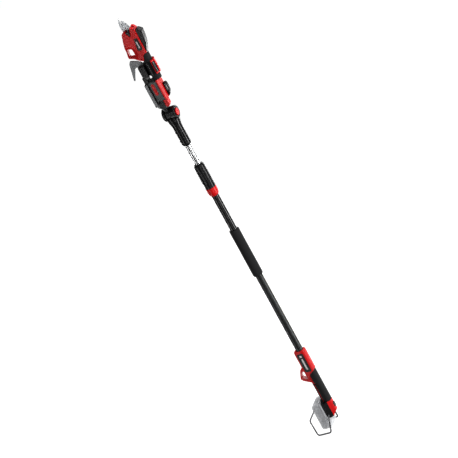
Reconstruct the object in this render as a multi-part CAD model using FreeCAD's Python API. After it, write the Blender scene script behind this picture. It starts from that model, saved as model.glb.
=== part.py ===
import FreeCAD, Part
import math
import os

# Telescoping pole pruner. Millimetres. +Z runs up the pole, +X is the spine side,
# -X is the trigger and battery side. Z = 0 is the underside of the wire stand.

os.makedirs("parts", exist_ok=True)

# ---- driving dimensions ----
GAP = 0.4              # free space between pieces that move past each other
FIT = 0.05             # radial clearance of a running fit

TUBE_R = 14.25         # outer tube
TUBE_WALL = 1.5
INNER_R = 12.0         # telescoping inner tube
INNER_WALL = 1.5
TUBE_Z = (268.0, 1125.0)
INNER_Z = (410.0, 1392.0)

FOAM_R = 19.7
FOAM_Z = (704.0, 911.0)

LOCK_R = 21.0
COLLAR_Z = (1072.0, 1107.0)
BASE_TOP = 1130.0
SPIGOT_TOP = 1165.0
SLEEVE_TOP = 1213.0

FOOT_Z = (50.0, 114.0)
FOOT_FRONT = -16.0     # face that the battery hangs on
DOCK_HALF = 37.0
GRIP_Z = (114.0, 260.0)
GRIP_X = (-18.0, 19.0)
GRIP_HALF = 17.0
HOUSING_X = (-25.0, 21.0)
HOUSING_Z = (240.0, 351.0)
SHELL_WALL = 2.5
OVERMOULD = 2.5

WIRE_R = 2.75
STAND_HALF = 55.0
STAND_FRONT = -80.0

BATTERY_X = (-58.0, -18.5)
BATTERY_Z = (12.0, 122.0)

FORK_SLEEVE_R = 18.75
FORK_SLEEVE_Z = (1300.0, 1380.0)
TILT_Z = 1440.0        # height of the tilt axis, which runs along X
EAR_R = 26.0
NECK_R = 25.2          # the fork's round body just under the ears
EAR_X = (-26.0, 28.0)
SLOT_X = (-14.5, 7.5)
PIN_R = 5.0
TRIGGER_PIN_R = 1.5
REAR_TRIGGER_PIVOT = (-18.0, 258.2)
COVER_WALL_X = 16.0     # inner face of the foot cover's spine wall
POWER_BUTTON_Z = 89.0
POWER_BUTTON_HALF = (6.2, 10.5)
BUTTON_R = 14.5
SPRING_X = 15.2         # where the stack of spring washers behind the tilt button starts
SPRING_R = (5.5, 9.0)
SPRING_WASHERS = 4
WASHER_RISE = 1.35

CARRIER_HALF = 24.0
TRAY_X = -29.0
ADAPTER_Z = (1510.0, 1590.0)

PRUNER_GRIP_X = 25.0   # axis of the pruner's own grip
PRUNER_GRIP_R = 17.0
CLAMP_Z = (1615.0, 1668.0)
BODY_HALF = 17.0
GUARD_HALF = 7.0        # half the finger guard's thickness at its thinnest
DISH_R = 60.0
DISH_CENTRE = (-24.0, 1718.0)
PRUNER_TRIGGER_PIVOT = (-4.5, 1744.0)

PIVOT = (9.0, 1800.0)  # blade pivot, axis along Y
MODULE = 1.5
SECTOR_TEETH = 24
PINION_TEETH = 8
MESH_ANGLE = -45.0     # direction from the blade pivot to the pinion, in degrees
BLADE_THICK = 2.8


# ---- helpers ----
def vec(x, y, z):
    return FreeCAD.Vector(x, y, z)


def save(name, shape):
    shape.exportStep("parts/" + name + ".step")


def box(x0, x1, y0, y1, z0, z1):
    return Part.makeBox(x1 - x0, y1 - y0, z1 - z0, vec(x0, y0, z0))


def rod(radius, start, end):
    start, end = vec(*start), vec(*end)
    return Part.makeCylinder(radius, (end - start).Length, start, end - start)


def post(radius, z0, z1, x=0.0, y=0.0):
    return rod(radius, (x, y, z0), (x, y, z1))


def ring(outer, inner, z0, z1, x=0.0):
    return post(outer, z0, z1, x).cut(post(inner, z0 - 1, z1 + 1, x))


def turned(profile, x=0.0):
    """A solid turned about the vertical line at x from (radius, z) points."""
    points = [vec(x + r, 0, z) for r, z in profile]
    face = Part.Face(Part.makePolygon(points + points[:1]))
    return face.revolve(vec(x, 0, 0), vec(0, 0, 1), 360)


def joined(solids):
    return solids[0].multiFuse(solids[1:]).removeSplitter()


def group(solids):
    return Part.makeCompound(solids)


def rounded_face(corners, place):
    """A flat face with rounded corners. corners are (u, v, radius); place maps (u, v) to a point."""
    edges = []
    ends = []
    count = len(corners)
    for i in range(count):
        here = FreeCAD.Vector(corners[i][0], corners[i][1], 0)
        before = FreeCAD.Vector(corners[i - 1][0], corners[i - 1][1], 0)
        after = FreeCAD.Vector(corners[(i + 1) % count][0], corners[(i + 1) % count][1], 0)
        radius = corners[i][2]
        back = (before - here).normalize()
        ahead = (after - here).normalize()
        if radius <= 0:
            ends.append((here, None, here))
            continue
        half = back.getAngle(ahead) / 2
        reach = radius / math.tan(half)
        centre_way = (back + ahead).normalize()
        middle = here + centre_way * (radius / math.sin(half) - radius)
        ends.append((here + back * reach, middle, here + ahead * reach))
    for i in range(count):
        first, middle, last = ends[i]
        if middle is not None:
            edges.append(Part.Arc(*[place(p.x, p.y) for p in (first, middle, last)]).toShape())
        following = ends[(i + 1) % count][0]
        if (following - last).Length > 1e-6:
            edges.append(Part.LineSegment(place(last.x, last.y), place(following.x, following.y)).toShape())
    return Part.Face(Part.Wire(edges))


def plate(corners, y0, y1):
    """An outline in the X-Z plane, (x, z, corner radius), made y0 to y1 thick."""
    face = rounded_face(corners, lambda x, z: vec(x, y0, z))
    return face.extrude(vec(0, y1 - y0, 0))


def column(corners, z0, z1):
    """An outline in the X-Y plane, (x, y, corner radius), raised from z0 to z1."""
    face = rounded_face(corners, lambda x, y: vec(x, y, z0))
    return face.extrude(vec(0, 0, z1 - z0))


def side_cut(corners, x0, x1):
    """An outline in the Y-Z plane, (y, z, corner radius), run from x0 to x1."""
    face = rounded_face(corners, lambda y, z: vec(x0, y, z))
    return face.extrude(vec(x1 - x0, 0, 0))


def block_outline(x0, x1, half, radius):
    return [(x0, -half, radius), (x1, -half, radius), (x1, half, radius), (x0, half, radius)]


def with_radius(points, radius):
    return [(u, v, radius) for u, v in points]


def soften(shape, radius, wanted):
    """Fillet the edges for which wanted(edge) is true."""
    edges = [edge for edge in shape.Edges if wanted(edge)]
    return shape.makeFillet(radius, edges)


def in_plane(axis, value):
    """Whether an edge lies in the plane where coordinate axis (0, 1 or 2) equals value."""
    def test(edge):
        bounds = edge.BoundBox
        low = (bounds.XMin, bounds.YMin, bounds.ZMin)[axis]
        high = (bounds.XMax, bounds.YMax, bounds.ZMax)[axis]
        return abs(low - value) < 0.01 and abs(high - value) < 0.01
    return test


def soft_plate(corners, y0, y1, radius):
    solid = plate(corners, y0, y1)
    return soften(solid, radius, lambda e: in_plane(1, y0)(e) or in_plane(1, y1)(e))


def half_of(shape, side):
    """The part of a shape on the near (side -1) or far (side +1) side of the X-Z plane."""
    reach = 100.0
    low, high = (-reach, 0.0) if side < 0 else (0.0, reach)
    return shape.common(box(-200, 200, low, high, -50, 2000))


def bent_rod(points, bend, radius):
    """A round rod through points, with tangent arcs of radius bend at its corners."""
    points = [vec(*p) for p in points]
    edges = []
    start = points[0]
    for before, here, after in zip(points, points[1:], points[2:]):
        back = (before - here).normalize()
        ahead = (after - here).normalize()
        half = back.getAngle(ahead) / 2
        reach = bend / math.tan(half)
        first = here + back * reach
        last = here + ahead * reach
        middle = here + (back + ahead).normalize() * (bend / math.sin(half) - bend)
        edges.append(Part.LineSegment(start, first).toShape())
        edges.append(Part.Arc(first, middle, last).toShape())
        start = last
    edges.append(Part.LineSegment(start, points[-1]).toShape())
    profile = Part.Wire(Part.makeCircle(radius, points[0], points[1] - points[0]))
    return Part.Wire(edges).makePipeShell([profile], True, False)


def gear_outline(teeth, phase, centre, first, last):
    """Points of trapezoid teeth in the X-Z plane, for tooth numbers first to last."""
    pitch = MODULE * teeth / 2
    tip = pitch + 0.8 * MODULE
    root = pitch - 1.1 * MODULE
    step = 2 * math.pi / teeth
    points = []
    for tooth in range(first, last):
        middle = phase + tooth * step
        for radius, offset in ((root, -0.29), (tip, -0.1), (tip, 0.1), (root, 0.29)):
            angle = middle + offset * step
            points.append((centre[0] + radius * math.cos(angle), centre[1] + radius * math.sin(angle)))
    return points


# ---- rear pole ----
def outer_tube():
    return ring(TUBE_R, TUBE_R - TUBE_WALL, *TUBE_Z)


def foam_grip():
    grip = ring(FOAM_R, TUBE_R, *FOAM_Z)
    ends = [e for e in grip.Edges if abs(e.BoundBox.XMax - FOAM_R) < 0.1 and e.BoundBox.ZLength < 1]
    return grip.makeFillet(4.0, ends)


def lock_collar():
    z0, z1 = COLLAR_Z
    return turned([(TUBE_R, z0), (16.0, z0), (19.5, z0 + 6), (LOCK_R, z0 + 13), (LOCK_R, z1), (TUBE_R, z1)])


def lock_base():
    z0 = COLLAR_Z[1]
    outer = turned([
        (TUBE_R, z0), (LOCK_R - 0.4, z0), (LOCK_R - 0.4, BASE_TOP), (17.0, BASE_TOP),
        (17.0, SPIGOT_TOP), (13.5, SPIGOT_TOP), (13.5, TUBE_Z[1]), (TUBE_R, TUBE_Z[1]),
    ])
    return outer


def collet():
    body = ring(13.5, INNER_R + FIT, TUBE_Z[1], SPIGOT_TOP)
    for slot in range(3):
        cutter = box(-15, 15, -1, 1, TUBE_Z[1] + 10, SPIGOT_TOP + 1)
        cutter.rotate(vec(0, 0, 0), vec(0, 0, 1), slot * 60)
        body = body.cut(cutter)
    return body


def lock_sleeve():
    bottom = BASE_TOP + GAP
    inner = 17.0 + GAP
    body = turned([
        (inner, bottom), (LOCK_R, bottom), (LOCK_R, SLEEVE_TOP - 13), (LOCK_R - 1.5, SLEEVE_TOP - 6),
        (14.5, SLEEVE_TOP), (INNER_R + GAP, SLEEVE_TOP), (INNER_R + GAP, SPIGOT_TOP + GAP), (inner, SPIGOT_TOP + GAP),
    ])
    for groove in range(18):
        angle = math.radians(groove * 20)
        x, y = 22.0 * math.cos(angle), 22.0 * math.sin(angle)
        body = body.cut(post(1.8, bottom + 3, SLEEVE_TOP - 28, x, y))
    return body


def coiled_lead():
    return ring(8.5, 6.0, TUBE_Z[0] + 4, INNER_Z[0] - 6)


# ---- rear handle ----
def guard_outline():
    return [
        (-20, 283, 4), (-38, 267, 8), (-46, 250, 10), (-53, 232, 6), (-46, 222, 5), (-14, 203, 3), (-14, 283, 0),
    ]


def guard_opening():
    return with_radius([(-21, 261), (-36, 259), (-43.5, 236), (-23, 222)], 3)


def handle_envelope():
    housing = column(block_outline(*HOUSING_X, GRIP_HALF, 12), *HOUSING_Z)
    housing = soften(housing, 6.0, in_plane(2, HOUSING_Z[1]))
    guard = soft_plate(guard_outline(), -9, 9, 2.5)
    return housing, guard


def grip_column(inset, z0=GRIP_Z[0], z1=GRIP_Z[1]):
    x0, x1 = GRIP_X
    return column(block_outline(x0 + inset, x1 - inset, GRIP_HALF - inset, 14 - inset), z0, z1)


BACK_ZONE = [
    (6.2, 110), (40, 110), (40, 262), (22, 260), (9, 252), (-2, 246), (-6, 240), (-6, 208), (4, 196), (6.2, 190),
]
FRONT_ZONE = [(-40, 110), (5.0, 110), (5.0, 189), (2, 195), (-8, 203), (-40, 203)]


def zone(points):
    return plate(with_radius(points, 0), -40, 40)


def softgrip_back():
    return grip_column(0).cut(grip_column(OVERMOULD, 100, 300)).common(zone(BACK_ZONE))


def softgrip_front():
    return grip_column(0).cut(grip_column(OVERMOULD, 100, 300)).common(zone(FRONT_ZONE))


def handle_shells():
    housing, guard = handle_envelope()
    core = grip_column(OVERMOULD)
    body = joined([housing.cut(zone(BACK_ZONE)), guard, core, grip_column(0, 203, 262).cut(zone(BACK_ZONE))])
    body = body.cut(column(block_outline(-22.0, 18.0, 14.4, 10), TUBE_Z[0], HOUSING_Z[1] - 5))
    body = body.cut(grip_column(OVERMOULD + SHELL_WALL, GRIP_Z[0] + 3, TUBE_Z[0] + 1))
    body = body.cut(plate(guard_opening(), -30, 30))
    body = body.cut(box(-24, -8, -6.4, 6.4, 216, 264))
    body = body.cut(post(TUBE_R, *TUBE_Z)).cut(panel_pair(1.2))
    body = body.cut(group(screw_solids()))
    body = body.fuse(trigger_pin(REAR_TRIGGER_PIVOT, 7.0))
    return half_of(body, -1), half_of(body, 1)


def panel_pair(depth):
    outline = [(-15, 258, 5), (11, 258, 5), (11, 340, 5), (-15, 340, 5)]
    near = plate(outline, -GRIP_HALF - 0.5, -GRIP_HALF + depth)
    far = plate(outline, GRIP_HALF - depth, GRIP_HALF + 0.5)
    return joined([near, far])


def screw_solids():
    places = [(-20, 345), (16, 345), (1, 205), (1, 135)]
    solids = []
    for x, z in places:
        head = rod(2.6, (x, -13.6, z), (x, -11.4, z))
        solids.append(head.fuse(rod(1.4, (x, -11.4, z), (x, 10, z))))
    return solids


def rear_trigger():
    body = soft_plate(with_radius([(-12, 262), (-22, 262), (-24, 254), (-27, 240), (-24, 225), (-15, 223)], 2),
                      -5.6, 5.6, 1.2)
    return body.cut(trigger_pin(REAR_TRIGGER_PIVOT, 6.4, FIT))


def rear_switch():
    return box(-7.5, 4, -5, 5, 226, 252)


def trigger_pin(pivot, half, clearance=0.0):
    x, z = pivot
    return rod(TRIGGER_PIN_R + clearance, (x, -half, z), (x, half, z))


# ---- battery dock and wire stand ----
def dock_section():
    return [(FOOT_FRONT, -DOCK_HALF, 5), (20, -8, 7), (20, 8, 7), (FOOT_FRONT, DOCK_HALF, 5)]


def foot_blank():
    body = column(dock_section(), *FOOT_Z)
    keel = with_radius([(-30, 60), (-4, 50), (4, 50), (30, 78), (30, 130), (-30, 130)], 4)
    return body.common(plate(keel, -50, 50))


def stand_wire():
    near = [(-9, -30, 66), (-22, -STAND_HALF, WIRE_R), (STAND_FRONT + 3, -STAND_HALF, WIRE_R + 2),
            (STAND_FRONT, -STAND_HALF, 74)]
    far = [(x, -y, z) for x, y, z in reversed(near)]
    return bent_rod(near + far, 9.0, WIRE_R)


def rails(clearance):
    """Two T-shaped rails that stand out of the dock's front face."""
    solids = []
    for side in (-1, 1):
        stem = sorted((side * (23 - clearance), side * (27 + clearance)))
        head = sorted((side * (23 - clearance), side * (31 + clearance)))
        top = FOOT_Z[1] - 4 + (40 if clearance else 0)
        low = 58 - clearance
        solids.append(box(-21, FOOT_FRONT + clearance, *stem, low, top))
        solids.append(box(-24 - clearance, -21 + clearance, *head, low, top))
    return joined([joined(solids[:2]), joined(solids[2:])])


def foot_body():
    body = foot_blank().common(box(-60, 4.2, -60, 60, 0, 200))
    fairing = side_cut([(-36, 113, 2), (36, 113, 2), (16, 131, 6), (-16, 131, 6)], FOOT_FRONT, -8)
    body = joined([body, fairing, rails(0.0)]).cut(grip_column(0))
    body = body.cut(box(-12, 3, -12, 12, 54, 110)).cut(box(-18, -10, -11, 11, 84, 104))
    return body.cut(stand_wire())


def foot_cover():
    body = foot_blank().common(box(4.4, 60, -60, 60, 0, 200))
    body = body.cut(column(block_outline(4.3, COVER_WALL_X, 9, 3), 60, 110))
    return body.cut(button_prism(0.3, 0, 40))


def button_prism(grow, x0, x1):
    """The long oval of the power button, as a prism along X."""
    half_y, half_z = POWER_BUTTON_HALF
    outline = [(y, POWER_BUTTON_Z + z) for y, z in block_corners(half_y + grow, half_z + grow)]
    return side_cut(with_radius(outline, half_y + grow - 0.3), x0, x1)


def block_corners(half_u, half_v):
    return [(-half_u, -half_v), (half_u, -half_v), (half_u, half_v), (-half_u, half_v)]


def power_button():
    flange = button_prism(1.5, COVER_WALL_X - 3.2, COVER_WALL_X - 1.2)
    return joined([flange, button_prism(0, COVER_WALL_X - 2, 22)])


def terminal_block():
    block = box(-15.8, -10, -10.6, 10.6, 85, 103)
    blades = [box(-24, -15.8, y - 0.5, y + 0.5, 88, 100) for y in (-8, -3, 3, 8)]
    return joined([block] + blades)


# ---- battery ----
def battery_blank():
    x0, x1 = BATTERY_X
    z0, z1 = BATTERY_Z
    outline = [(x0, z0, 9), (x1, z0, 3), (x1, z1, 3), (x0, z1 - 2, 9)]
    return soft_plate(outline, -DOCK_HALF, DOCK_HALF, 4.0)


def battery_case():
    body = battery_blank().common(box(-42, 0, -60, 60, 0, 200)).cut(rails(0.5))
    body = body.cut(box(-50, -30, -33, 33, 16, 117))
    slots = [box(-26, -10, y - 1.2, y + 1.2, 84, 140) for y in (-8, -3, 3, 8)]
    return body.cut(group(slots))


def battery_lid():
    body = battery_blank().common(box(-70, -42, -60, 60, 0, 200))
    return body.cut(box(-55.5, -40, -33, 33, 16, 117)).cut(box(-70, -50, -12.5, 12.5, 23.5, 44.5))


def battery_cells():
    pitch = 19.5
    return group([rod(9.0, (-42, -32.5, 27.5 + i * pitch), (-42, 32.5, 27.5 + i * pitch)) for i in range(5)])


def battery_latch():
    return soft_plate([(-59, 24, 1.5), (-53, 24, 1.5), (-53, 44, 1.5), (-59, 44, 1.5)], -12, 12, 1.0)


# ---- front mast and tilt fork ----
def inner_tube():
    return ring(INNER_R, INNER_R - INNER_WALL, *INNER_Z)


def guide_bush():
    return ring(TUBE_R - TUBE_WALL - FIT, INNER_R, INNER_Z[0], INNER_Z[0] + 20)


def fork_neck():
    """The swell from the round sleeve to the width of the ears, as a cosine curve."""
    low, high = FORK_SLEEVE_Z[1] - 4, TILT_Z - 18
    steps = 8
    profile = [(0, low - 2), (FORK_SLEEVE_R, low - 2)]
    for i in range(steps + 1):
        share = (1 - math.cos(math.pi * i / steps)) / 2
        profile.append((FORK_SLEEVE_R + (NECK_R - FORK_SLEEVE_R) * share, low + (high - low) * i / steps))
    return turned(profile + [(NECK_R, TILT_Z), (0, TILT_Z)])


def fork_blank():
    z0, z1 = FORK_SLEEVE_Z
    sleeve = turned([(0, z0), (13.5, z0), (17.5, z0 + 4), (FORK_SLEEVE_R, z0 + 9), (FORK_SLEEVE_R, z1), (0, z1)])
    ears = rod(EAR_R, (EAR_X[0], 0, TILT_Z), (EAR_X[1], 0, TILT_Z))
    ears = soften(ears, 4.0, lambda e: e.BoundBox.XLength < 0.1)
    return joined([sleeve, fork_neck(), ears])


def fork_screw_solids():
    solids = []
    for z in (1322, 1362):
        for x in (-15.2, 15.2):
            head = rod(2.3, (x, -12, z), (x, -8, z))
            solids.append(head.fuse(rod(1.4, (x, -8, z), (x, 8, z))))
    return solids


def fork_shells():
    body = fork_blank()
    body = body.cut(box(*SLOT_X, -60, 60, TILT_Z, TILT_Z + 60))
    body = body.cut(rod(EAR_R + 2, (SLOT_X[0], 0, TILT_Z), (SLOT_X[1], 0, TILT_Z)))
    body = body.cut(post(INNER_R, 1290, INNER_Z[1])).cut(post(INNER_R - INNER_WALL, 1390, 1420))
    body = body.cut(rod(BUTTON_R + GAP, (15, 0, TILT_Z), (60, 0, TILT_Z)))
    body = body.cut(rod(PIN_R, (EAR_X[0] - 1, 0, TILT_Z), (60, 0, TILT_Z)))
    heads = [rod(2.5, (x, -30, z), (x, -11, z)) for z in (1322, 1362) for x in (-15.2, 15.2)]
    body = body.cut(group(fork_screw_solids())).cut(group(heads))
    return half_of(body, -1), half_of(body, 1)


def tilt_pin():
    return rod(PIN_R, (EAR_X[0] + 1, 0, TILT_Z), (14.5, 0, TILT_Z))


def tilt_button():
    body = rod(BUTTON_R, (21, 0, TILT_Z), (31, 0, TILT_Z))
    return soften(body, 2.0, in_plane(0, 31))


def tilt_spring():
    """Coned spring washers, stacked point to point behind the button."""
    washers = []
    for i in range(SPRING_WASHERS):
        inner = Part.makeCone(SPRING_R[0], SPRING_R[1], WASHER_RISE, vec(0, 0, 0), vec(1, 0, 0))
        outer = Part.makeCone(SPRING_R[0] + 1.5, SPRING_R[1] + 1.5, WASHER_RISE, vec(0, 0, 0), vec(1, 0, 0))
        washer = outer.cut(inner)
        if i % 2:
            washer.rotate(vec(0, 0, 0), vec(0, 0, 1), 180)
            washer.translate(vec(WASHER_RISE, 0, 0))
        washer.translate(vec(SPRING_X + i * (WASHER_RISE + 0.02), 0, TILT_Z))
        washers.append(washer)
    return group(washers)


# ---- carrier ----
def tilt_lug():
    x0, x1 = SLOT_X[0] + 4.0, SLOT_X[1] - GAP
    disc = rod(EAR_R - 2, (x0, 0, TILT_Z), (x1, 0, TILT_Z))
    neck = box(x0, 3.5, -15, 15, TILT_Z, 1467)
    coupling = plate([(x0, 1466, 0), (x0, 1470, 0), (-20, 1480, 0), (-20, 1506, 0), (3.5, 1506, 0), (3.5, 1466, 0)],
                     -12, 12)
    backbone = box(-25.8, -11.2, -19.5, 19.5, 1500, ADAPTER_Z[1])
    tower = box(-25.8, -11.2, -17, 17, ADAPTER_Z[1], 1614)
    body = joined([disc, neck, coupling, backbone, tower])
    return body.cut(rod(PIN_R + FIT, (-60, 0, TILT_Z), (60, 0, TILT_Z)))


def tray():
    channel = box(TRAY_X, -17, -CARRIER_HALF, CARRIER_HALF, 1489, 1586)
    channel = channel.cut(box(-26, 0, -20, 20, 1400, 1600))
    tongue = plate([(TRAY_X, 1492, 0), (-28, 1480, 2), (-14.1, 1468.5, 0), (-14.1, 1448, 1), (-11.1, 1448, 1),
                    (-11.1, 1469, 0), (-20.4, 1479.8, 0), (-20.4, 1492, 0)], -12, 12)
    web = box(TRAY_X, -26, -20, 20, 1489, 1492)
    return joined([channel, tongue, web])


def channels(clearance):
    """T-shaped channels in the dummy battery; with no clearance, the pruner's rails that fill them."""
    solids = []
    bottom = ADAPTER_Z[0] + 6 - clearance
    top = ADAPTER_Z[1] - 2 + (10 if clearance else 0)
    for side in (-1, 1):
        stem = sorted((side * (12 - clearance), side * (15 + clearance)))
        head = sorted((side * (12 - clearance), side * (18 + clearance)))
        solids.append(joined([
            box(16, 22, *stem, bottom, top),
            box(12 - clearance, 16 + clearance, *head, bottom, top),
        ]))
    return solids


def adapter_body():
    z0, z1 = ADAPTER_Z
    body = column(block_outline(-11, 21, CARRIER_HALF, 3), z0, z1)
    body = soften(body, 1.5, in_plane(2, z1))
    return body.cut(group(channels(GAP)))


def adapter_inlays():
    outline = [(-4, 1535, 6), (8.5, 1535, 6), (8.5, 1584, 6), (-4, 1584, 6)]
    return group([plate(outline, -CARRIER_HALF - 0.8, -CARRIER_HALF), plate(outline, CARRIER_HALF, CARRIER_HALF + 0.8)])


def quick_latch():
    body = plate([(6, 1474, 2), (16, 1474, 3), (21, 1482, 3), (21, 1504, 3), (4.5, 1504, 2), (4.5, 1480, 1)], -11, 11)
    return soften(body, 1.0, lambda e: in_plane(1, -11)(e) or in_plane(1, 11)(e))


def hook_outline():
    return [
        (-2, 1672, 4), (-14, 1680, 6), (-44, 1690, 5), (-52, 1678, 6), (-67, 1610, 2), (-64, 1606, 2),
        (-41, 1652, 6), (-33, 1658, 5), (-24, 1655, 5), (-19, 1640, 0), (-2, 1640, 0),
    ]


def branch_hook():
    return plate(hook_outline(), -2, 2).cut(group(hook_screw_solids()))


def arc_band(inner, outer, start, end, z0, z1, centre_x=PRUNER_GRIP_X):
    """Part of a ring about the grip's axis, between two angles in degrees from +X."""
    band = Part.makeCylinder(outer, z1 - z0, vec(centre_x, 0, z0), vec(0, 0, 1), end - start)
    band.rotate(vec(centre_x, 0, z0), vec(0, 0, 1), start)
    return band.cut(post(inner, z0 - 1, z1 + 1, centre_x))


def hook_screw_solids():
    solids = []
    for x, z in ((-14, 1645), (-6, 1652)):
        solids.append(rod(2.4, (x, -12, z), (x, -9.4, z)).fuse(rod(1.5, (x, -9.4, z), (x, 9, z))))
    return solids


LEVER_HINGE = (33.5, 23.0)


def clamp_bracket():
    inner = PRUNER_GRIP_R + GAP
    tower = box(-20, 6.0, -22, 22, CLAMP_Z[0], 1660)
    tower = soften(tower, 3.0, lambda e: abs(e.BoundBox.ZLength - 45) < 0.1 and e.BoundBox.XMax < -19)
    band = arc_band(inner, 20.5, 75, 285, *CLAMP_Z)
    knuckle = post(4.5, 1632, 1650, *LEVER_HINGE)
    arm = box(22, LEVER_HINGE[0], 19.0, LEVER_HINGE[1], 1632, 1650)
    body = joined([tower, band, arm, knuckle])
    body = body.cut(post(inner, 1600, 1700, PRUNER_GRIP_X)).cut(box(-60, 20, -2, 2, 1630, 1700).common(branch_hook()))
    body = body.cut(post(2.0, 1600, 1700, *LEVER_HINGE)).cut(group(hook_screw_solids()))
    heads = [rod(2.6, (x, -30, z), (x, -11.9, z)) for x, z in ((-14, 1645), (-6, 1652))]
    return body.cut(group(heads))


def lever_pin():
    return post(2.0, 1614, 1670, *LEVER_HINGE)


def clamp_lever():
    inner = PRUNER_GRIP_R + GAP + 0.3
    body = arc_band(inner, 24.5, -52, 52, 1616, 1672)
    body = body.cut(post(5.2, 1600, 1700, *LEVER_HINGE))
    knuckles = [post(4.5, z0, z1, *LEVER_HINGE) for z0, z1 in ((1616, 1631.6), (1650.4, 1668))]
    web = [box(LEVER_HINGE[0] - 1, 40, 17, 22, z0, z1) for z0, z1 in ((1616, 1631.6), (1650.4, 1668))]
    body = joined([body] + knuckles + web)
    body = body.cut(post(inner, 1600, 1700, PRUNER_GRIP_X))
    return body.cut(post(2.0 + FIT, 1600, 1700, *LEVER_HINGE))


def clamp_pad():
    pad = arc_band(24.5, 25.3, -48, -16, 1622, 1666)
    for rib in range(7):
        z = 1626 + rib * 6
        pad = pad.cut(ring(30, 24.9, z, z + 1.6, PRUNER_GRIP_X))
    return pad


# ---- pruner ----
def body_outline():
    return [
        (-2, 1812, 3), (-14, 1806, 6), (-24, 1775, 20), (-30, 1751, 20), (-38, 1712, 4), (-37, 1703, 4),
        (-11, 1694, 6), (6, 1683, 4), (17, 1678, 3), (23, 1692, 4), (28, 1704, 6), (42, 1708, 3),
        (43, 1808, 4), (36, 1818, 6), (26, 1822, 3), (14, 1784, 3),
    ]


def finger_opening():
    return with_radius([(-7, 1738), (-26, 1741), (-33.5, 1705), (-7, 1702)], 4)


def guard_dish(side):
    """A shallow dish that thins the finger guard on the near (-1) or far (+1) side."""
    x, z = DISH_CENTRE
    return Part.makeSphere(DISH_R, vec(x, side * (DISH_R + GUARD_HALF), z))


def blade_sweep_space():
    return plate(with_radius([(-22, 1830), (-22, 1796), (-6, 1776), (34, 1768), (38, 1788), (38, 1830)], 0), -4, 4)


def pruner_blank():
    solid = plate(body_outline(), -BODY_HALF, BODY_HALF)
    return soften(solid, 2.0, lambda e: in_plane(1, -BODY_HALF)(e) or in_plane(1, BODY_HALF)(e))


def pruner_shells():
    body = pruner_blank()
    cavity = [(-8, 1800, 3), (-16, 1776, 3), (-20, 1755, 3), (10, 1742, 3), (11, 1712, 3), (40, 1712, 3),
              (40, 1800, 3), (28, 1806, 3), (19, 1782, 3), (9, 1782, 3)]
    body = body.cut(plate(cavity, -BODY_HALF + SHELL_WALL, BODY_HALF - SHELL_WALL))
    body = body.cut(blade_sweep_space()).cut(plate(finger_opening(), -30, 30))
    body = body.cut(box(-12, 5, -5.4, 5.4, 1708, 1752))
    body = body.cut(rod(8.5, (PIVOT[0], -12, PIVOT[1]), (PIVOT[0], 12, PIVOT[1])))
    x, z = pinion_centre()
    body = body.cut(rod(10.5, (x, -6, z), (x, 14, z)))
    body = body.cut(pruner_panel_pair(1.2)).cut(group(pruner_screw_solids()))
    heads = [rod(2.6, (x, -30, z), (x, -13.4, z)) for x, z in PRUNER_SCREWS]
    body = body.cut(group(heads)).fuse(trigger_pin(PRUNER_TRIGGER_PIVOT, BODY_HALF - 1))
    body = body.cut(guard_dish(-1)).cut(guard_dish(1))
    return half_of(body, -1), half_of(body, 1)


PRUNER_SCREWS = ((-24, 1758), (-19, 1786), (39.5, 1811), (12, 1689))


def pruner_screw_solids():
    solids = []
    for x, z in PRUNER_SCREWS:
        solids.append(rod(2.4, (x, -13.4, z), (x, -10.8, z)).fuse(rod(1.4, (x, -10.8, z), (x, 9, z))))
    return solids


def pruner_panel_pair(depth):
    outline = [(15, 1724, 6), (36, 1724, 9), (36, 1776, 5), (22, 1776, 5)]
    near = plate(outline, -BODY_HALF - 0.5, -BODY_HALF + depth)
    far = plate(outline, BODY_HALF - depth, BODY_HALF + 0.5)
    return joined([near, far])


def spine_cover():
    outline = [(43.3, 1806, 2), (50, 1808, 4), (65, 1797, 4), (61, 1764, 20), (57, 1743, 20), (49, 1724, 10),
               (42, 1708, 3), (43.3, 1708, 0)]
    body = soft_plate(outline[:-2] + [(43.3, 1709, 0)], -13, 13, 1.8)
    return body.cut(plate(with_radius([(45, 1800), (60, 1793), (55, 1750), (46, 1730)], 2), -10, 10))


def pruner_grip():
    body = ring(PRUNER_GRIP_R, PRUNER_GRIP_R - 3, ADAPTER_Z[1] + 3, 1712, PRUNER_GRIP_X)
    return body.cut(plate(body_outline(), -30, 30))


def battery_mount():
    z0, z1 = ADAPTER_Z
    outline = [(21.4, -CARRIER_HALF, 0), (26, -CARRIER_HALF, 3), (33, -12, 4), (33, 12, 4), (26, CARRIER_HALF, 3),
               (21.4, CARRIER_HALF, 0)]
    body = column(outline, z0 + 2, z1 + 2.9)
    return joined([body] + channels(0.0))


def hang_loop():
    outer = [(33, 1568, 3), (47, 1570, 3), (49, 1560, 4), (48, 1532, 5), (38, 1514, 4), (33, 1512, 0)]
    inner = with_radius([(38, 1561), (44, 1562), (44, 1536), (38, 1527)], 2)
    return plate(outer, -5, 5).cut(plate(inner, -9, 9))


def pruner_trigger():
    outline = with_radius([(0, 1749), (-9.5, 1748), (-11, 1738), (-10, 1722), (-7, 1714), (0, 1715)], 2)
    return soft_plate(outline, -4.6, 4.6, 1.0).cut(trigger_pin(PRUNER_TRIGGER_PIVOT, 6.0, FIT))


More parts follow.
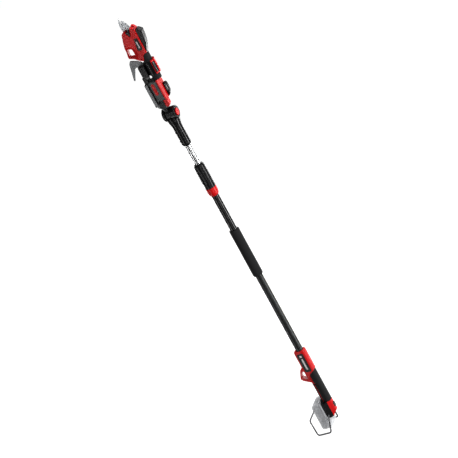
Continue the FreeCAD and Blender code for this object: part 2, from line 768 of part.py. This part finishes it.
def fixed_blade():
    outer = Part.Arc(vec(-1.3, 0.2, 1866), vec(-12.6, 0.2, 1834), vec(-9, 0.2, 1804)).toShape()
    inner = Part.Arc(vec(9, 0.2, 1812), vec(-1.5, 0.2, 1834), vec(-1.3, 0.2, 1866)).toShape()
    path = [vec(-9, 0.2, 1804), vec(-3, 0.2, 1793), vec(9, 0.2, 1790), vec(16, 0.2, 1793), vec(17, 0.2, 1806),
            vec(9, 0.2, 1812)]
    lines = [Part.LineSegment(a, b).toShape() for a, b in zip(path, path[1:])]
    solid = Part.Face(Part.Wire([outer] + lines + [inner])).extrude(vec(0, BLADE_THICK, 0))
    return solid.cut(rod(4.0, (PIVOT[0], -5, PIVOT[1]), (PIVOT[0], 5, PIVOT[1])))


def cutting_blade():
    y0 = -0.2 - BLADE_THICK
    right = Part.Arc(vec(5, y0, 1855), vec(16, y0, 1840), vec(24, y0, 1822)).toShape()
    left = Part.Arc(vec(-1, y0, 1806), vec(0, y0, 1834), vec(5, y0, 1855)).toShape()
    path = [vec(24, y0, 1822), vec(19, y0, 1802), vec(9, y0, 1791), vec(-1, y0, 1800), vec(-1, y0, 1806)]
    lines = [Part.LineSegment(a, b).toShape() for a, b in zip(path, path[1:])]
    blade = Part.Face(Part.Wire([right] + lines + [left])).extrude(vec(0, BLADE_THICK, 0))
    mesh = math.radians(MESH_ANGLE)
    teeth = gear_outline(SECTOR_TEETH, mesh, PIVOT, -3, 4)
    sector = plate(with_radius(teeth + [PIVOT], 0), y0, -0.2)
    body = joined([blade, sector])
    return body.cut(rod(4.0 + FIT, (PIVOT[0], -5, PIVOT[1]), (PIVOT[0], 5, PIVOT[1])))


def pinion_centre():
    distance = MODULE * (SECTOR_TEETH + PINION_TEETH) / 2
    angle = math.radians(MESH_ANGLE)
    return PIVOT[0] + distance * math.cos(angle), PIVOT[1] + distance * math.sin(angle)


def cross_shaft():
    x, z = pinion_centre()
    phase = math.radians(MESH_ANGLE) + math.pi + math.pi / PINION_TEETH
    teeth = plate(with_radius(gear_outline(PINION_TEETH, phase, (x, z), 0, PINION_TEETH), 0), -3.4, 0.1)
    shaft = rod(2.4, (x, -12, z), (x, 13, z))
    cone = Part.makeCone(6.0, 9.2, 1.8, vec(x, 3.6, z), vec(0, 1, 0))
    hub = rod(5.0, (x, 5.4, z), (x, 9, z))
    return joined([teeth, shaft, cone, hub])


def bevel_pinion():
    x, z = pinion_centre()
    top = z - 7.9
    cone = Part.makeCone(5.0, 4.2, 0.9, vec(x, 0, top - 0.9))
    return joined([cone, post(3.0, top - 4.5, top - 0.8, x), post(2.0, top - 9, top - 4, x)])


def motor():
    x = pinion_centre()[0]
    return post(12.0, 1714, 1750, x)


def gearbox():
    x, z = pinion_centre()
    top = z - 13.5
    return post(12.0, 1750, top, x).cut(post(2.0 + FIT, top - 4.0, top + 1, x)).cut(post(2.6, top - 6, top - 4, x))


def blade_bolt():
    x, z = PIVOT
    head = rod(6.5, (x, -6.4, z), (x, -3.5, z))
    shank = rod(4.0, (x, -3.5, z), (x, 3.2, z))
    nut = rod(6.5, (x, 3.0, z), (x, 7, z))
    return joined([head, shank, nut])


def pruner_board():
    return box(46.5, 48, -9.5, 9.5, 1740, 1795)


# ---- write every piece ----
handle_near, handle_far = handle_shells()
fork_near, fork_far = fork_shells()
pruner_near, pruner_far = pruner_shells()
panels = panel_pair(1.2)
side_panels = pruner_panel_pair(1.2)

PIECES = {
    "outer_tube": outer_tube(),
    "foam_grip": foam_grip(),
    "lock_collar": lock_collar(),
    "lock_base": lock_base(),
    "collet": collet(),
    "lock_sleeve": lock_sleeve(),
    "coiled_lead": coiled_lead(),
    "handle_shell_near": handle_near,
    "handle_shell_far": handle_far,
    "handle_panels": panels,
    "handle_screws": group(screw_solids()),
    "softgrip_back": softgrip_back(),
    "softgrip_front": softgrip_front(),
    "rear_trigger": rear_trigger(),
    "rear_switch": rear_switch(),
    "power_button": power_button(),
    "foot_body": foot_body(),
    "foot_cover": foot_cover(),
    "terminal_block": terminal_block(),
    "wire_stand": stand_wire(),
    "battery_case": battery_case(),
    "battery_lid": battery_lid(),
    "battery_cells": battery_cells(),
    "battery_latch": battery_latch(),
    "inner_tube": inner_tube(),
    "guide_bush": guide_bush(),
    "fork_shell_near": fork_near,
    "fork_shell_far": fork_far,
    "fork_screws": group(fork_screw_solids()),
    "tilt_pin": tilt_pin(),
    "tilt_button": tilt_button(),
    "tilt_spring": tilt_spring(),
    "tilt_lug": tilt_lug(),
    "tray": tray(),
    "adapter_body": adapter_body(),
    "adapter_inlays": adapter_inlays(),
    "quick_latch": quick_latch(),
    "branch_hook": branch_hook(),
    "hook_screws": group(hook_screw_solids()),
    "clamp_bracket": clamp_bracket(),
    "lever_pin": lever_pin(),
    "clamp_lever": clamp_lever(),
    "clamp_pad": clamp_pad(),
    "pruner_shell_near": pruner_near,
    "pruner_shell_far": pruner_far,
    "pruner_panels": side_panels,
    "pruner_screws": group(pruner_screw_solids()),
    "spine_cover": spine_cover(),
    "pruner_grip": pruner_grip(),
    "battery_mount": battery_mount(),
    "hang_loop": hang_loop(),
    "pruner_trigger": pruner_trigger(),
    "fixed_blade": fixed_blade(),
    "cutting_blade": cutting_blade(),
    "cross_shaft": cross_shaft(),
    "bevel_pinion": bevel_pinion(),
    "motor": motor(),
    "gearbox": gearbox(),
    "blade_bolt": blade_bolt(),
    "pruner_board": pruner_board(),
}

for name, shape in PIECES.items():
    save(name, shape)
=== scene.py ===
import math

import bmesh
import bpy
from mathutils import Matrix, Vector


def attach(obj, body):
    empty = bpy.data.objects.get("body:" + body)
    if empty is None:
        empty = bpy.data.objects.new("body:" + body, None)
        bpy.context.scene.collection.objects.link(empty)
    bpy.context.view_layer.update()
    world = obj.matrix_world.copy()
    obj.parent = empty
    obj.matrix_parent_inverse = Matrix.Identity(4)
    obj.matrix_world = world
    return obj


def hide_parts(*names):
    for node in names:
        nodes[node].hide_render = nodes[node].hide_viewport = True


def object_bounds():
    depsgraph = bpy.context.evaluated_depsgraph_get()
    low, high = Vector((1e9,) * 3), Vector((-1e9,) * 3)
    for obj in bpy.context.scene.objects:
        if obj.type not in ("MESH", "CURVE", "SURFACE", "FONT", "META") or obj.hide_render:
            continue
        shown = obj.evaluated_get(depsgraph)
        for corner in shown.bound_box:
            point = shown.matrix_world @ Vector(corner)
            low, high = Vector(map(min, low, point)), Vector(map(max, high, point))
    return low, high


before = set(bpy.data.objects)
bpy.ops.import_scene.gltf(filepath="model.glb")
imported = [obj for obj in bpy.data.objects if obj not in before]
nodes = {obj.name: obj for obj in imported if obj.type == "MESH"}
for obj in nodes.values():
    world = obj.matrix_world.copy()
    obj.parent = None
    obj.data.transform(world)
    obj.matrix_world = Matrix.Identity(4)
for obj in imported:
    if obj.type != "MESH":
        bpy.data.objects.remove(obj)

cad_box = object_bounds()
MM = 0.001
SMOOTH_ANGLE = 35.0

# ---- colours, linear ----
RED = (0.60, 0.004, 0.006)
BLACK = (0.007, 0.007, 0.008)
CHARCOAL = (0.012, 0.012, 0.013)
GREY = (0.11, 0.12, 0.12)
PALE = (0.72, 0.73, 0.75)
PRINT = (0.7, 0.7, 0.7)
NYLON = (0.7, 0.68, 0.6)
WIRE = (0.07, 0.07, 0.075)
BRIGHT_ALUMINIUM = (0.62, 0.625, 0.63)
DULL_ALUMINIUM = (0.24, 0.245, 0.25)
BLADE_STEEL = (0.36, 0.37, 0.38)
TURNED_STEEL = (0.5, 0.5, 0.52)
ZINC = (0.3, 0.3, 0.32)
BRASS = (0.75, 0.55, 0.25)

# ---- pieces made here, in millimetres ----
OUTER_TUBE_R = 14.25
INNER_TUBE_R = 11.98
TUBE_WALL = 1.5
INNER_TUBE_BORE = 10.5
OUTER_TUBE_Z = (268, 1125)
INNER_TUBE_Z = (410, 1392)
FOAM_R = 19.7
FOAM_Z = (704, 911)
TUBE_SEGMENTS = 128
FOAM_SEGMENTS = 96
BAR_FACES = (17.45, 17.75)             # where the light bars start and end, out from the middle
WEDGE_FACES = (12.3, 16.4)
DOT_FACES = (12.9, 13.5)
DOT_HALF = 2.2
ACCENT_FACES = (16.6, 17.2)

# ---- floor and light ----
FLOOR_REACH = 40.0
FLOOR_DROP = 0.0005
FLOOR_GLOW = 0.80
WORLD_STRENGTH = 0.12
VIEW_GAMMA = 0.76
VIEW_EXPOSURE = 0.25
STRIP_Z = (-1.9, 3.1)
# name, degrees to the right of the camera's own azimuth, distance, width, watts
STRIPS = (
    ("key", 58, 2.6, 0.5, 90),
    ("fill", -64, 2.8, 0.35, 34),
    ("front", 6, 4.0, 0.22, 34),
    ("rim_right", 140, 2.6, 0.6, 70),
    ("rim_left", -150, 2.6, 0.6, 60),
)
TOP_PLACE = (0.6, 0.4, 4.6)
TOP_SIZE = 2.5
TOP_POWER = 60


# ---- camera ----
CAMERA_AZIMUTH = math.radians(28.0)
CAMERA_ELEVATION = math.radians(22.5)
POLE_LEAN = math.radians(28.68)        # how far the pole leans left in the picture
CAMERA_DISTANCE = 20.0
FRAME_WIDTH = 1.7110                   # metres across the picture at the pole
AIM_HEIGHT = 0.9215
AIM_LEFT = 0.0152


def make_camera():
    sin_a, cos_a = math.sin(CAMERA_AZIMUTH), math.cos(CAMERA_AZIMUTH)
    sin_e, cos_e = math.sin(CAMERA_ELEVATION), math.cos(CAMERA_ELEVATION)
    back = Vector((sin_a * cos_e, -cos_a * cos_e, sin_e))
    level = Vector((cos_a, sin_a, 0.0))
    upright = back.cross(level)
    right = level * math.cos(POLE_LEAN) - upright * math.sin(POLE_LEAN)
    up = level * math.sin(POLE_LEAN) + upright * math.cos(POLE_LEAN)
    data = bpy.data.cameras.new("camera")
    data.sensor_width = 36.0
    data.lens = data.sensor_width * CAMERA_DISTANCE / FRAME_WIDTH
    data.clip_end = 100.0
    camera = bpy.data.objects.new("camera", data)
    bpy.context.scene.collection.objects.link(camera)
    place = Vector((0, 0, AIM_HEIGHT)) - level * AIM_LEFT + back * CAMERA_DISTANCE
    turn = Matrix((right, up, back)).transposed().to_4x4()
    camera.matrix_world = Matrix.Translation(place) @ turn
    bpy.context.scene.camera = camera


# ---- materials ----
def new_material(name):
    material = bpy.data.materials.new(name)
    material.use_nodes = True
    tree = material.node_tree
    return material, tree, tree.nodes["Principled BSDF"]


def coordinates(tree, stretch=(1, 1, 1)):
    source = tree.nodes.new("ShaderNodeTexCoord")
    mapping = tree.nodes.new("ShaderNodeMapping")
    mapping.inputs["Scale"].default_value = stretch
    tree.links.new(source.outputs["Object"], mapping.inputs["Vector"])
    return mapping.outputs["Vector"]


def noise(tree, vector, scale, detail=4.0, rough=0.6):
    node = tree.nodes.new("ShaderNodeTexNoise")
    node.inputs["Scale"].default_value = scale
    node.inputs["Detail"].default_value = detail
    node.inputs["Roughness"].default_value = rough
    tree.links.new(vector, node.inputs["Vector"])
    return node.outputs["Fac"]


def ramp(tree, value, stops):
    node = tree.nodes.new("ShaderNodeValToRGB")
    elements = node.color_ramp.elements
    while len(elements) < len(stops):
        elements.new(0.5)
    for element, (place, colour) in zip(elements, stops):
        element.position = place
        element.color = (*colour, 1.0)
    tree.links.new(value, node.inputs["Fac"])
    return node.outputs["Color"]


def spread(tree, value, low, high):
    node = tree.nodes.new("ShaderNodeMapRange")
    node.inputs["To Min"].default_value = low
    node.inputs["To Max"].default_value = high
    node.inputs["From Min"].default_value = 0.3
    node.inputs["From Max"].default_value = 0.7
    tree.links.new(value, node.inputs["Value"])
    return node.outputs["Result"]


def shade(colour, factor):
    return tuple(min(1.0, c * factor) for c in colour)


def bump(tree, shader, layers):
    """Stack bump layers, each (height socket, strength, distance in metres)."""
    normal = None
    for height, strength, distance in layers:
        node = tree.nodes.new("ShaderNodeBump")
        node.inputs["Strength"].default_value = strength
        node.inputs["Distance"].default_value = distance
        tree.links.new(height, node.inputs["Height"])
        if normal is not None:
            tree.links.new(normal, node.inputs["Normal"])
        normal = node.outputs["Normal"]
    tree.links.new(normal, shader.inputs["Normal"])


def moulded(name, colour, rough, grain=1400.0, grain_depth=0.00006, drift=0.12):
    """Moulded plastic: slow colour drift, scuffs in the gloss and a fine spark-eroded grain."""
    material, tree, shader = new_material(name)
    where = coordinates(tree)
    slow = noise(tree, where, 18.0)
    scuff = noise(tree, where, 260.0, 6.0, 0.7)
    fine = noise(tree, where, grain, 2.0, 0.5)
    tint = ramp(tree, slow, [(0.3, shade(colour, 1 - drift)), (0.7, shade(colour, 1 + drift))])
    tree.links.new(tint, shader.inputs["Base Color"])
    tree.links.new(spread(tree, scuff, rough - 0.06, rough + 0.08), shader.inputs["Roughness"])
    bump(tree, shader, [(fine, 0.12, grain_depth), (slow, 0.1, 0.0003)])
    return material


def rubber(name, colour):
    """Soft overmould: matt, with a small raised dot pattern and dust in the hollows."""
    material, tree, shader = new_material(name)
    where = coordinates(tree)
    cells = tree.nodes.new("ShaderNodeTexVoronoi")
    cells.inputs["Scale"].default_value = 420.0
    tree.links.new(where, cells.inputs["Vector"])
    dust = noise(tree, where, 40.0, 6.0, 0.7)
    tint = ramp(tree, dust, [(0.35, colour), (0.75, shade(colour, 1.9))])
    tree.links.new(tint, shader.inputs["Base Color"])
    tree.links.new(spread(tree, dust, 0.62, 0.8), shader.inputs["Roughness"])
    bump(tree, shader, [(cells.outputs["Distance"], 0.5, 0.00025)])
    return material


def foam(name, colour):
    """Closed-cell foam: dull, with open pores and slow lumps; the pore hollows are painted darker (painted
    shade) and the foam between them lighter.
    """
    material, tree, shader = new_material(name)
    where = coordinates(tree)
    pores = tree.nodes.new("ShaderNodeTexVoronoi")
    pores.inputs["Scale"].default_value = 700.0
    tree.links.new(where, pores.inputs["Vector"])
    lumps = noise(tree, where, 90.0, 6.0, 0.7)
    # painted shade: the colour darkens towards each pore's hollow and lightens on the foam between the pores
    tint = ramp(tree, pores.outputs["Distance"], [(0.05, shade(colour, 0.5)), (0.5, shade(colour, 1.5))])
    tree.links.new(tint, shader.inputs["Base Color"])
    shader.inputs["Roughness"].default_value = 0.82
    shader.inputs["Sheen Weight"].default_value = 0.04
    bump(tree, shader, [(pores.outputs["Distance"], 0.3, 0.0002), (lumps, 0.2, 0.0004)])
    return material


def metal(name, colour, rough, stretch=(1, 1, 1), lines=600.0, depth=0.00003, drift=0.08):
    """Bare metal with drawing or grinding lines along the stretched direction."""
    material, tree, shader = new_material(name)
    where = coordinates(tree, stretch)
    streak = noise(tree, where, lines, 5.0, 0.65)
    stain = noise(tree, coordinates(tree), 30.0, 5.0, 0.7)
    tint = ramp(tree, stain, [(0.3, shade(colour, 1 - drift)), (0.7, shade(colour, 1 + drift))])
    tree.links.new(tint, shader.inputs["Base Color"])
    tree.links.new(spread(tree, streak, rough - 0.05, rough + 0.08), shader.inputs["Roughness"])
    shader.inputs["Metallic"].default_value = 1.0
    bump(tree, shader, [(streak, 0.06, depth)])
    return material


def coating(name, colour, rough, peel=0.00008):
    """Powder coat or paint: gloss with orange peel and faint rub marks."""
    material, tree, shader = new_material(name)
    where = coordinates(tree)
    skin = noise(tree, where, 380.0, 3.0, 0.5)
    rub = noise(tree, coordinates(tree, (1, 1, 0.1)), 120.0, 5.0, 0.7)
    tint = ramp(tree, rub, [(0.35, colour), (0.75, shade(colour, 1.6))])
    tree.links.new(tint, shader.inputs["Base Color"])
    tree.links.new(spread(tree, rub, rough, rough + 0.1), shader.inputs["Roughness"])
    shader.inputs["Coat Weight"].default_value = 0.4
    shader.inputs["Coat Roughness"].default_value = 0.08
    bump(tree, shader, [(skin, 0.25, peel)])
    return material


def frosted(name, colour):
    """Frosted, see-through plastic of the pack."""
    material, tree, shader = new_material(name)
    where = coordinates(tree)
    cloud = noise(tree, where, 25.0, 4.0, 0.6)
    fine = noise(tree, where, 900.0, 2.0, 0.5)
    tint = ramp(tree, cloud, [(0.3, shade(colour, 0.93)), (0.7, shade(colour, 1.05))])
    tree.links.new(tint, shader.inputs["Base Color"])
    tree.links.new(spread(tree, fine, 0.35, 0.5), shader.inputs["Roughness"])
    shader.inputs["Alpha"].default_value = 0.5
    bump(tree, shader, [(fine, 0.3, 0.00005)])
    return material


def floor_paint():
    material, tree, shader = new_material("floor_paint")
    where = coordinates(tree)
    tint = ramp(tree, noise(tree, where, 1.5), [(0.3, (0.24, 0.24, 0.24)), (0.7, (0.26, 0.26, 0.26))])
    tree.links.new(tint, shader.inputs["Base Color"])
    shader.inputs["Roughness"].default_value = 0.9
    shader.inputs["Emission Color"].default_value = (1, 1, 1, 1)
    shader.inputs["Emission Strength"].default_value = FLOOR_GLOW
    material.cycles.emission_sampling = "NONE"
    return material


MATERIALS = {
    "red": moulded("red_moulding", RED, 0.36, grain_depth=0.00002),
    "black": moulded("black_moulding", BLACK, 0.33, grain=1100.0, grain_depth=0.00003, drift=0.3),
    "satin_black": moulded("satin_black_moulding", shade(BLACK, 0.8), 0.26, grain_depth=0.00001, drift=0.2),
    "grey": moulded("grey_moulding", GREY, 0.45),
    "nylon": moulded("natural_nylon", NYLON, 0.5),
    "rubber": rubber("soft_overmould", CHARCOAL),
    "foam": foam("sleeve_foam", shade(CHARCOAL, 1.15)),
    "coat": coating("black_tube_coat", shade(BLACK, 0.9), 0.16),
    "wire": coating("grey_wire_coat", WIRE, 0.32),
    "drawn": metal("drawn_aluminium", BRIGHT_ALUMINIUM, 0.26, stretch=(1, 1, 0.02)),
    "silver": metal("blasted_aluminium", DULL_ALUMINIUM, 0.5, lines=900.0, depth=0.00005),
    "blade": metal("ground_steel", BLADE_STEEL, 0.34, stretch=(1, 1, 0.06), lines=500.0),
    "turned": metal("turned_steel", TURNED_STEEL, 0.3),
    "zinc": metal("zinc_screws", ZINC, 0.35),
    "brass": metal("plated_brass", BRASS, 0.28),
    "pack": frosted("frosted_pack", PALE),
    "light": moulded("light_print", PRINT, 0.4),
}

NODE_MATERIALS = {
    "red": ["handle_shell_near", "handle_shell_far", "foot_cover", "lock_collar", "quick_latch", "clamp_lever",
            "battery_mount", "pruner_shell_near", "pruner_shell_far", "tilt_button", "adapter_inlays"],
    "black": ["foot_body", "lock_sleeve", "lock_base", "tilt_lug", "clamp_bracket", "spine_cover",
              "hang_loop", "rear_trigger", "pruner_trigger", "power_button", "battery_latch", "rear_switch",
              "pruner_board"],
    "satin_black": ["handle_panels", "pruner_panels", "fork_shell_near", "fork_shell_far", "clamp_pad"],
    "grey": ["adapter_body"],
    "nylon": ["collet", "guide_bush"],
    "rubber": ["softgrip_back", "softgrip_front", "pruner_grip", "coiled_lead"],
    "foam": ["foam_grip"],
    "coat": ["outer_tube"],
    "wire": ["wire_stand"],
    "drawn": ["inner_tube"],
    "silver": ["tray", "branch_hook"],
    "blade": ["fixed_blade", "cutting_blade"],
    "turned": ["tilt_pin", "lever_pin", "blade_bolt", "cross_shaft", "bevel_pinion", "tilt_spring", "gearbox",
               "motor", "battery_cells"],
    "zinc": ["handle_screws", "fork_screws", "hook_screws", "pruner_screws"],
    "brass": ["terminal_block"],
    "pack": ["battery_case", "battery_lid"],
}


def paint(obj, material):
    if obj.material_slots:
        for slot in obj.material_slots:
            slot.material = material
    else:
        obj.data.materials.append(material)


def paint_nodes():
    for key, names in NODE_MATERIALS.items():
        for name in names:
            paint(nodes[name], MATERIALS[key])


# ---- mesh helpers, in metres ----
def finish_piece(name, mesh, body, material):
    for polygon in mesh.polygons:
        polygon.use_smooth = True
    mesh.set_sharp_from_angle(angle=math.radians(SMOOTH_ANGLE))
    piece = bpy.data.objects.new(name, mesh)
    bpy.context.scene.collection.objects.link(piece)
    piece.data.materials.append(MATERIALS[material])
    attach(piece, body)
    return piece


def bmesh_to_mesh(work, name):
    bmesh.ops.recalc_face_normals(work, faces=work.faces)
    mesh = bpy.data.meshes.new(name)
    work.to_mesh(mesh)
    work.free()
    return mesh


def rounded(corners, steps=5):
    """Points round an outline of (u, v, radius) corners, in millimetres."""
    points = []
    count = len(corners)
    for i, (u, v, radius) in enumerate(corners):
        here = Vector((u, v))
        if radius <= 0:
            points.append(here)
            continue
        back = (Vector(corners[i - 1][:2]) - here).normalized()
        ahead = (Vector(corners[(i + 1) % count][:2]) - here).normalized()
        half = back.angle(ahead) / 2
        centre = here + (back + ahead).normalized() * (radius / math.sin(half))
        first = here + back * (radius / math.tan(half)) - centre
        last = here + ahead * (radius / math.tan(half)) - centre
        turn = first.angle_signed(last)
        for k in range(steps + 1):
            angle = -turn * k / steps
            cos_a, sin_a = math.cos(angle), math.sin(angle)
            arm = Vector((first.x * cos_a - first.y * sin_a, first.x * sin_a + first.y * cos_a))
            points.append(centre + arm)
    return points


def add_plate(work, points, y0, y1, bevel):
    """Extrude an X-Z outline from y0 to y1 and bevel its two rims."""
    low = [work.verts.new(Vector((p.x, y0, p.y)) * MM) for p in points]
    high = [work.verts.new(Vector((p.x, y1, p.y)) * MM) for p in points]
    ends = [work.faces.new(low), work.faces.new(high)]
    count = len(points)
    for i in range(count):
        j = (i + 1) % count
        work.faces.new((low[i], low[j], high[j], high[i]))
    rims = {edge for face in ends for edge in face.edges}
    bmesh.ops.bevel(work, geom=list(rims), offset=bevel * MM, segments=3, profile=0.5, affect="EDGES")


def plates(name, shapes, body, material, bevel):
    """One piece of one or more plates. shapes are (corners, y0, y1) in millimetres."""
    work = bmesh.new()
    for corners, y0, y1 in shapes:
        add_plate(work, rounded(corners), y0, y1, bevel)
    return finish_piece(name, bmesh_to_mesh(work, name), body, material)


def radii(points, radius):
    return [(u, v, radius) for u, v in points]


def both_sides(corners, inner, outer):
    """The same plate on the near and the far side of the X-Z plane."""
    return [(corners, -outer, -inner), (corners, inner, outer)]


def block(x0, x1, z0, z1, radius):
    return radii([(x0, z0), (x1, z0), (x1, z1), (x0, z1)], radius)


def lathe(name, profile, body, material, segments):
    """Turn a closed (radius, height) profile, in millimetres, about the pole's axis."""
    work = bmesh.new()
    rings = []
    for step in range(segments):
        angle = 2 * math.pi * step / segments
        turned = [Vector((r * math.cos(angle), r * math.sin(angle), z)) * MM for r, z in profile]
        rings.append([work.verts.new(point) for point in turned])
    count = len(profile)
    for step in range(segments):
        here, after = rings[step], rings[(step + 1) % segments]
        for i in range(count):
            j = (i + 1) % count
            work.faces.new((here[i], after[i], after[j], here[j]))
    return finish_piece(name, bmesh_to_mesh(work, name), body, material)


# ---- detail pieces ----
def make_foam_grip():
    """The foam sleeve: rounded ends and a faint waist where the hand sits."""
    bore = OUTER_TUBE_R + 0.05
    low, high = FOAM_Z
    profile = [(bore, low), (FOAM_R - 2.1, low), (FOAM_R - 0.7, low + 1), (FOAM_R, low + 3.5),
               (FOAM_R, low + 76), (FOAM_R - 0.2, low + 131), (FOAM_R, high - 31),
               (FOAM_R, high - 3.5), (FOAM_R - 0.7, high - 1), (FOAM_R - 2.1, high), (bore, high)]
    grip = lathe("foam_sleeve", profile, "rear_pole", "foam", FOAM_SEGMENTS)
    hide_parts("foam_grip")


def tube_profile(radius, bore, heights):
    low, high = heights
    return [(bore, low), (radius, low), (radius, high), (bore, high)]


def make_tubes():
    """The two tubes, with enough segments to hold a straight highlight."""
    profile = tube_profile(OUTER_TUBE_R, OUTER_TUBE_R - TUBE_WALL, OUTER_TUBE_Z)
    outer = lathe("outer_pole", profile, "rear_pole", "coat", TUBE_SEGMENTS)
    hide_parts("outer_tube")
    profile = tube_profile(INNER_TUBE_R, INNER_TUBE_BORE, INNER_TUBE_Z)
    inner = lathe("inner_pole", profile, "mast", "drawn", TUBE_SEGMENTS)
    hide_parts("inner_tube")


def make_panel_bars():
    """Plain light bars on the side panels."""
    shapes = both_sides(block(-5.5, 1.5, 268, 318, 1.5), *BAR_FACES)
    shapes += both_sides(block(-6.5, 2.5, 324, 333, 1.5), *BAR_FACES)
    plates("handle_bars", shapes, "rear_pole", "light", 0.1)
    pruner_bar = both_sides(block(24.5, 29.5, 1733, 1763, 1.2), *BAR_FACES)
    plates("pruner_bars", pruner_bar, "head", "light", 0.1)


def make_blade_root():
    wedge = radii([(1.4, 1808), (20.4, 1808), (14, 1787.5)], 1.2)
    plates("blade_root_cover", both_sides(wedge, *WEDGE_FACES), "head", "black", 0.6)


def make_spine_cover_dots():
    dots = []
    for x, z in ((52.5, 1770), (51.0, 1756)):
        dot = block(x - DOT_HALF, x + DOT_HALF, z - DOT_HALF, z + DOT_HALF, DOT_HALF - 0.1)
        dots += both_sides(dot, *DOT_FACES)
    plates("spine_cover_dots", dots, "head", "grey", 0.3)


def make_grip_accent():
    """A thin red line of the core showing along the front grip."""
    path = [(-15.0, 201), (-7.5, 196), (-6.3, 190), (-6.3, 118), (-7.5, 118), (-7.5, 189),
            (-8.6, 194.5), (-15.0, 199.4)]
    plates("grip_accent", both_sides(radii(path, 0), *ACCENT_FACES), "rear_pole", "red", 0.1)


# ---- stage ----
def make_floor():
    mesh = bpy.data.meshes.new("floor")
    reach = FLOOR_REACH
    corners = [(-reach, -reach, 0), (reach, -reach, 0), (reach, reach, 0), (-reach, reach, 0)]
    mesh.from_pydata(corners, [], [(0, 1, 2, 3)])
    floor = bpy.data.objects.new("floor", mesh)
    floor.location.z = cad_box[0][2] - FLOOR_DROP
    floor.data.materials.append(floor_paint())
    bpy.context.scene.collection.objects.link(floor)
    # the strip lights reach below the floor, so that upright tubes mirror them
    floor.visible_diffuse = False
    floor.visible_glossy = False
    floor.visible_shadow = False


def area_light(name, width, height, power, place):
    data = bpy.data.lights.new(name, "AREA")
    data.shape = "RECTANGLE"
    data.size = width
    data.size_y = height
    data.energy = power
    light = bpy.data.objects.new(name, data)
    light.location = place
    light.visible_camera = False
    bpy.context.scene.collection.objects.link(light)
    return light


def make_strip(name, azimuth, distance, width, power):
    """An upright strip light, turned to face the pole."""
    low, high = STRIP_Z
    angle = CAMERA_AZIMUTH + math.radians(azimuth)
    place = (distance * math.sin(angle), -distance * math.cos(angle), (low + high) / 2)
    light = area_light(name, width, high - low, power, place)
    light.rotation_euler = (math.pi / 2, 0, angle)


def make_lights():
    world = bpy.data.worlds.new("studio")
    world.use_nodes = True
    background = world.node_tree.nodes["Background"]
    background.inputs["Color"].default_value = (1, 1, 1, 1)
    background.inputs["Strength"].default_value = WORLD_STRENGTH
    bpy.context.scene.world = world
    view = bpy.context.scene.view_settings
    view.view_transform = "Standard"
    view.gamma = VIEW_GAMMA
    view.exposure = VIEW_EXPOSURE
    for strip in STRIPS:
        make_strip(*strip)
    area_light("top", TOP_SIZE, TOP_SIZE, TOP_POWER, TOP_PLACE)


make_camera()
make_floor()
make_lights()
paint_nodes()
make_foam_grip()
make_tubes()
make_panel_bars()
make_blade_root()
make_spine_cover_dots()
make_grip_accent()
